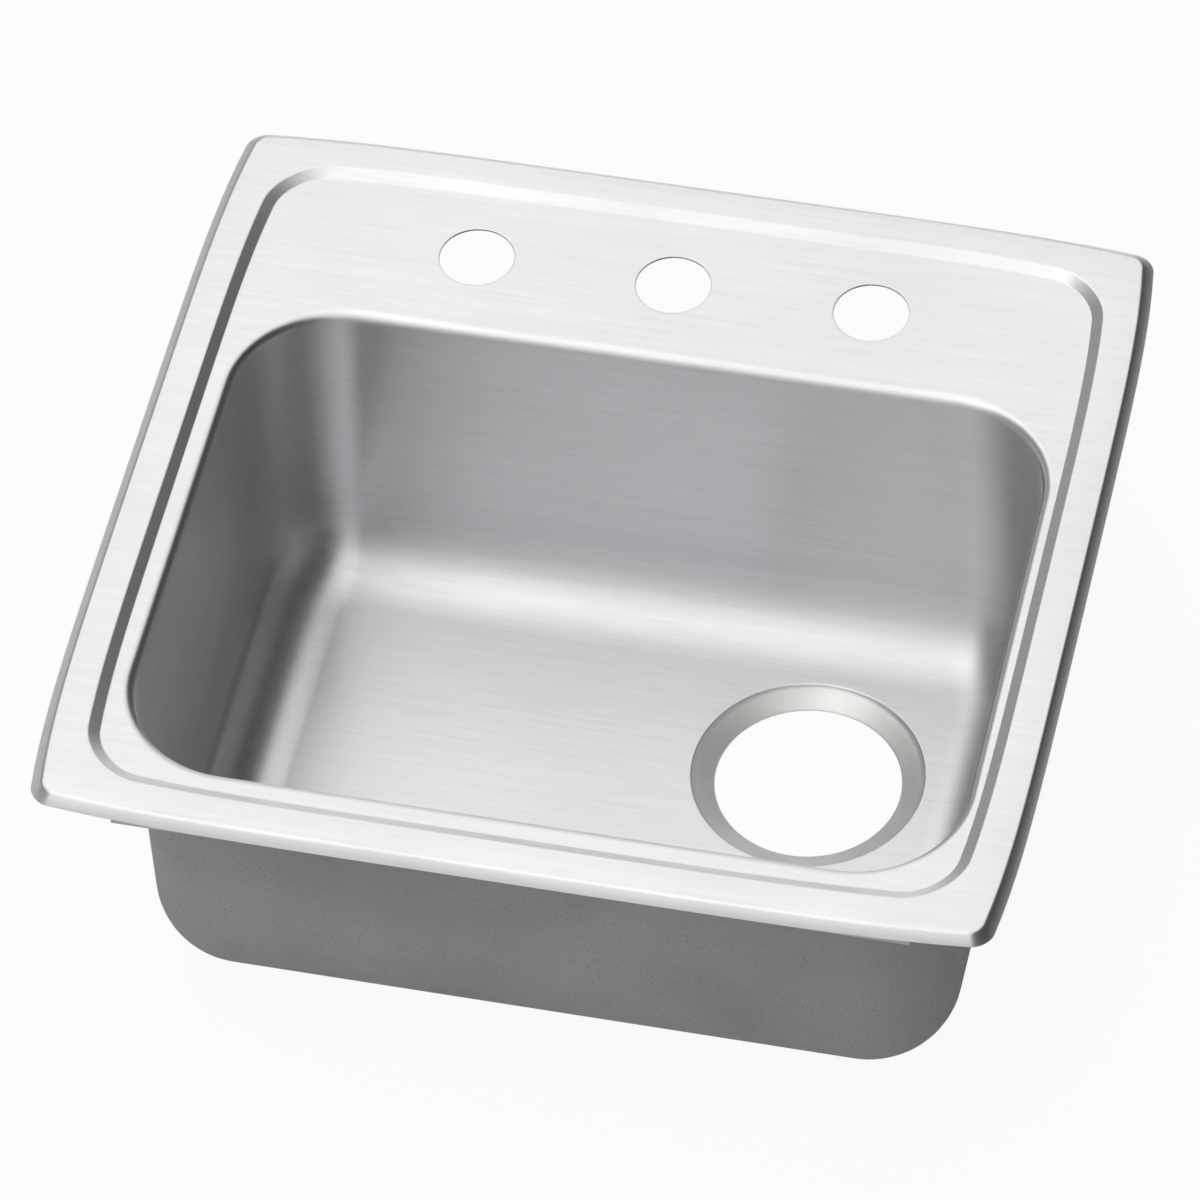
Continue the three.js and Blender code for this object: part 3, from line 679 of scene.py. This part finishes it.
def weld_steel():
    """Tack weld beads, straw and blue from the heat."""
    material, tree, bsdf = metal("weld_steel", 0.35)
    heat = cloud(tree, 420, 2, 31.0)
    tree.links.new(tinted(tree, between(tree, heat, 0, 1), (0.33, 0.30, 0.26),
                          (0.50, 0.50, 0.52)), bsdf.inputs["Base Color"])
    add_bump(tree, bsdf, heat, 0.0004, 0.4)
    return material


rail_finish = [mill_steel("rail_steel", 41.0), weld_steel()]
for name in ("rail_left", "rail_right", "rail_front", "rail_back"):
    low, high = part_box(name)
    size = high - low
    middle = Vector(((low.x + high.x) / 2, (low.y + high.y) / 2, low.z))
    along_y = size.y > size.x
    rail = add_piece(name.replace("rail_", "channel_"),
                     rail_mesh(min(size.x, size.y), size.z, max(size.x, size.y)), rail_finish)
    turn = Matrix.Identity(4) if along_y else Matrix.Rotation(math.pi / 2, 4, "Z")
    rail.data.transform(Matrix.Translation(middle) @ turn)
    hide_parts(name)
    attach(rail, "root")

# ---- clip bolts -------------------------------------------------------------------------------
# The T bolts are cold headed steel with a rolled M6 thread, plated with bright zinc. The flat
# head rides inside the channel and cannot turn there.
rail_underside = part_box("rail_left")[0].z
inward_turns = {"left": 0.0, "right": math.pi, "back": -math.pi / 2}
clip_places = ("left_front", "left_back", "right_front", "right_back", "back_left", "back_right")
head_size = Vector((0.010, 0.014, 0.003))
head_clearance = 0.0015
head_chamfer = 0.002
head_round = 0.0004
thread_start = 0.001                # above the underside of the head
thread_radius = 0.003
thread_depth = 0.00065
thread_pitch = 0.001
thread_around = 20
thread_rows = 5                    # for each turn


def bolt_mesh(length):
    def make(bm):
        head_middle = head_clearance + head_size.z / 2
        bmesh.ops.create_cube(bm, size=1, matrix=Matrix.Translation((0, 0, head_middle))
                              @ Matrix.Diagonal((*head_size, 1)))
        upright = [e for e in bm.edges
                   if abs(e.verts[0].co.z - e.verts[1].co.z) > head_size.z / 2]
        bmesh.ops.bevel(bm, geom=upright, offset=head_chamfer, offset_type="OFFSET", segments=1,
                        profile=0.5, affect="EDGES", material=-1)
        crown = [e for e in bm.edges if all(v.co.z > head_middle for v in e.verts)]
        bmesh.ops.bevel(bm, geom=crown, offset=head_round, offset_type="OFFSET", segments=2,
                        profile=0.5, affect="EDGES", material=-1)
        top = head_clearance + thread_start
        tip = head_clearance + head_size.z - length
        row_height = thread_pitch / thread_rows

        def thread(z):
            points = []
            taper = min(1.0, max(0.0, (z - tip) / (1.5 * thread_pitch)))
            for i in range(thread_around):
                share = i / thread_around
                phase = (z / thread_pitch + share) % 1
                depth = thread_depth * abs(2 * phase - 1)
                radius = thread_radius - max(depth, thread_depth * 1.2 * (1 - taper))
                turn = 2 * math.pi * share
                points.append(Vector((radius * math.cos(turn), radius * math.sin(turn), z)))
            return points

        loop = start_loop(bm, thread(top))
        bm.faces.new(loop)
        for row in range(1, int((top - tip) / row_height) + 1):
            loop = extrude_loop(bm, loop, thread(top - row * row_height))
        bm.faces.new(loop)
        bmesh.ops.recalc_face_normals(bm, faces=bm.faces)
        for face in bm.faces:
            face.smooth = len(face.verts) == 4 and face.calc_area() < 2e-6
    return make


def zinc_plate(name, seed, tone=(0.60, 0.615, 0.63)):
    """Bright zinc: cool, with fine spangles and a few duller patches from handling."""
    material, tree, bsdf = metal(name, 0.3)
    spangle = cloud(tree, 700, 2, seed)
    patches = cloud(tree, 120, 3, seed + 1)
    light = tuple(1.18 * value for value in tone)
    tree.links.new(tinted(tree, between(tree, patches, 0, 1), tone, light),
                   bsdf.inputs["Base Color"])
    tree.links.new(between(tree, spangle, 0.24, 0.42), bsdf.inputs["Roughness"])
    add_bump(tree, bsdf, spangle, 0.0001, 0.3)
    return material


def clip_place(where, z):
    """Where a clip stands: its bolt's axis, with +X of the clip turned in to the bowl."""
    low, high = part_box(f"t_bolt_{where}")
    spot = Vector(((low.x + high.x) / 2, (low.y + high.y) / 2, z))
    return Matrix.Translation(spot) @ Matrix.Rotation(inward_turns[where.split("_")[0]], 4, "Z")


bolt_zinc = zinc_plate("bolt_zinc", 51.0)
for where in clip_places:
    low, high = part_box(f"t_bolt_{where}")
    bolt = add_piece(f"bolt_{where}", bolt_mesh(high.z - low.z), [bolt_zinc])
    bolt.data.transform(clip_place(where, rail_underside))
    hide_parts(f"t_bolt_{where}")
    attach(bolt, f"t_bolt_{where}")

# ---- clip claws -------------------------------------------------------------------------------
# Each claw is pressed from steel strip and bent up at both ends: a short heel and a long toothed
# toe. It turns in to pass the cut-out, and out to bite the underside of the counter.
claw_sheet = 0.0018
claw_width = 0.018
claw_heel = 0.007
claw_reach = 0.013
heel_rise = 0.004
toe_rise = 0.010
claw_teeth = 4
tooth_depth = 0.0022
claw_bend = 0.0024
claw_hole = 0.0035


def claw_mesh(bm):
    section = [(-claw_heel, heel_rise), (-claw_heel, 0), (claw_reach, 0), (claw_reach, toe_rise)]
    verts = [bm.verts.new((x, -claw_width / 2, z)) for x, z in section]
    edges = [bm.edges.new(pair) for pair in zip(verts, verts[1:])]
    made = bmesh.ops.extrude_edge_only(bm, edges=edges)["geom"]
    moved = [item for item in made if isinstance(item, bmesh.types.BMVert)]
    bmesh.ops.translate(bm, verts=moved, vec=(0, claw_width, 0))
    top = [e for e in bm.edges if all(v.co.z > toe_rise - 1e-6 for v in e.verts)]
    bmesh.ops.subdivide_edges(bm, edges=top, cuts=2 * claw_teeth - 1)
    teeth = [v for v in bm.verts if v.co.z > toe_rise - 1e-6]
    for index, vert in enumerate(sorted(teeth, key=lambda v: v.co.y)):
        if index % 2 == 0:
            vert.co.z -= tooth_depth
    bends = [e for e in bm.edges if all(abs(v.co.z) < 1e-6 for v in e.verts)
             and abs(e.verts[0].co.x - e.verts[1].co.x) < 1e-6]
    bmesh.ops.bevel(bm, geom=bends, offset=claw_bend, offset_type="OFFSET", segments=5,
                    profile=0.5, affect="EDGES", material=-1)
    plate = next(f for f in bm.faces if all(abs(v.co.z) < 1e-6 for v in f.verts))
    border = plate.edges[:]
    bmesh.ops.delete(bm, geom=[plate], context="FACES_ONLY")
    hole = start_loop(bm, circle(claw_hole, 0, 0, 0, 32))
    bmesh.ops.triangle_fill(bm, use_beauty=True, use_dissolve=False,
                            edges=border + loop_edges(bm, hole))
    bmesh.ops.recalc_face_normals(bm, faces=bm.faces)
    level = next(f for f in bm.faces if all(abs(v.co.z) < 1e-6 for v in f.verts))
    if level.normal.z > 0:
        bmesh.ops.reverse_faces(bm, faces=bm.faces)


claw_zinc = zinc_plate("claw_zinc", 61.0)
for where in clip_places:
    claw = add_piece(f"clamp_{where}", claw_mesh, [claw_zinc])
    claw.data.transform(clip_place(where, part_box(f"claw_{where}")[0].z))
    add_thickness(claw, claw_sheet, edge=0.0003)
    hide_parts(f"claw_{where}")
    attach(claw, f"claw_{where}")

# ---- washers ----------------------------------------------------------------------------------
# A plain pressed washer, zinc plated, lies between each claw and its nut, so that the claw stays
# turned out while the nut is run up.
washer_radius = 0.0065
washer_hole = 0.0035
washer_thickness = 0.0012
washer_chamfer = 0.0002
washer_steps = 48


def washer_mesh(bm):
    edge, low, high = washer_chamfer, -washer_thickness, 0.0
    section = [(washer_hole + edge, high), (washer_radius - edge, high),
               (washer_radius, high - edge), (washer_radius, low + edge),
               (washer_radius - edge, low), (washer_hole + edge, low),
               (washer_hole, low + edge), (washer_hole, high - edge)]
    first = start_loop(bm, circle(section[0][0], 0, 0, section[0][1], washer_steps))
    loop = first
    for radius, z in section[1:]:
        loop = extrude_loop(bm, loop, circle(radius, 0, 0, z, washer_steps))
    bmesh.ops.bridge_loops(bm, edges=loop_edges(bm, first) + loop_edges(bm, loop))
    bmesh.ops.recalc_face_normals(bm, faces=bm.faces)


washer_zinc = zinc_plate("washer_zinc", 81.0)
for where in clip_places:
    washer = add_piece(f"disc_{where}", washer_mesh, [washer_zinc])
    washer.data.transform(clip_place(where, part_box(f"washer_{where}")[1].z))
    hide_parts(f"washer_{where}")
    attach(washer, f"washer_{where}")

# ---- wing nuts --------------------------------------------------------------------------------
# The wing nuts are die cast in zinc alloy: a tapered boss with two drooping wings for the fingers,
# soft at every edge, with the thread cut through afterwards.
nut_height = 0.006
nut_top = 0.0048
nut_base = 0.006
nut_bore = 0.0033
nut_lip = 0.0004
# Each wing grows in four pulls: out along Y, down, and wider by a factor.
wing_pulls = ((0.0035, -0.0006, 1.0), (0.0030, -0.0022, 1.25), (0.0022, -0.0026, 1.1),
              (0.0008, -0.0010, 0.7))


def nut_mesh(bm):
    around = 16
    turn = math.pi / around

    def ring(radius, z):
        points = circle(radius, 0, 0, z, around)
        return [Matrix.Rotation(turn, 3, "Z") @ point for point in points]

    outside = [(nut_base - nut_lip, 0), (nut_base, -nut_lip), (nut_base - 0.0005, -0.0022),
               (nut_top + 0.0003, -0.0042), (nut_top, -nut_height + nut_lip),
               (nut_top - nut_lip, -nut_height)]
    inside = [(nut_bore + nut_lip, -nut_height), (nut_bore, -nut_height + nut_lip),
              (nut_bore, -nut_lip), (nut_bore + nut_lip, 0)]
    first = start_loop(bm, ring(*outside[0]))
    loop = first
    for row in outside[1:] + inside:
        loop = extrude_loop(bm, loop, ring(*row))
    bmesh.ops.bridge_loops(bm, edges=loop_edges(bm, first) + loop_edges(bm, loop))
    bmesh.ops.recalc_face_normals(bm, faces=bm.faces)
    for side in (-1, 1):
        root = [f for f in bm.faces if abs(f.normal.x) < 0.1 and f.normal.y * side > 0.8
                and f.calc_center_median().y * side > nut_top * 0.9
                and -nut_height + nut_lip < f.calc_center_median().z < -0.0022]
        for out, down, growth in wing_pulls:
            made = bmesh.ops.extrude_face_region(bm, geom=root)["geom"]
            bmesh.ops.delete(bm, geom=root, context="FACES")
            root = [item for item in made if isinstance(item, bmesh.types.BMFace)]
            verts = list({v for f in root for v in f.verts})
            bmesh.ops.translate(bm, verts=verts, vec=(0, side * out, down))
            middle = sum((v.co for v in verts), Vector()) / len(verts)
            bmesh.ops.scale(bm, verts=verts, vec=(1, 1, growth),
                            space=Matrix.Translation(-middle))
    bmesh.ops.recalc_face_normals(bm, faces=bm.faces)
    for face in bm.faces:
        face.smooth = True


nut_zinc = zinc_plate("nut_zinc", 71.0, tone=(0.50, 0.51, 0.52))
for where in clip_places:
    nut = add_piece(f"wing_{where}", nut_mesh, [nut_zinc])
    nut.data.transform(clip_place(where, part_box(f"wing_nut_{where}")[1].z))
    soft = nut.modifiers.new("cast", "SUBSURF")
    soft.levels = soft.render_levels = 2
    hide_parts(f"wing_nut_{where}")
    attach(nut, f"wing_nut_{where}")
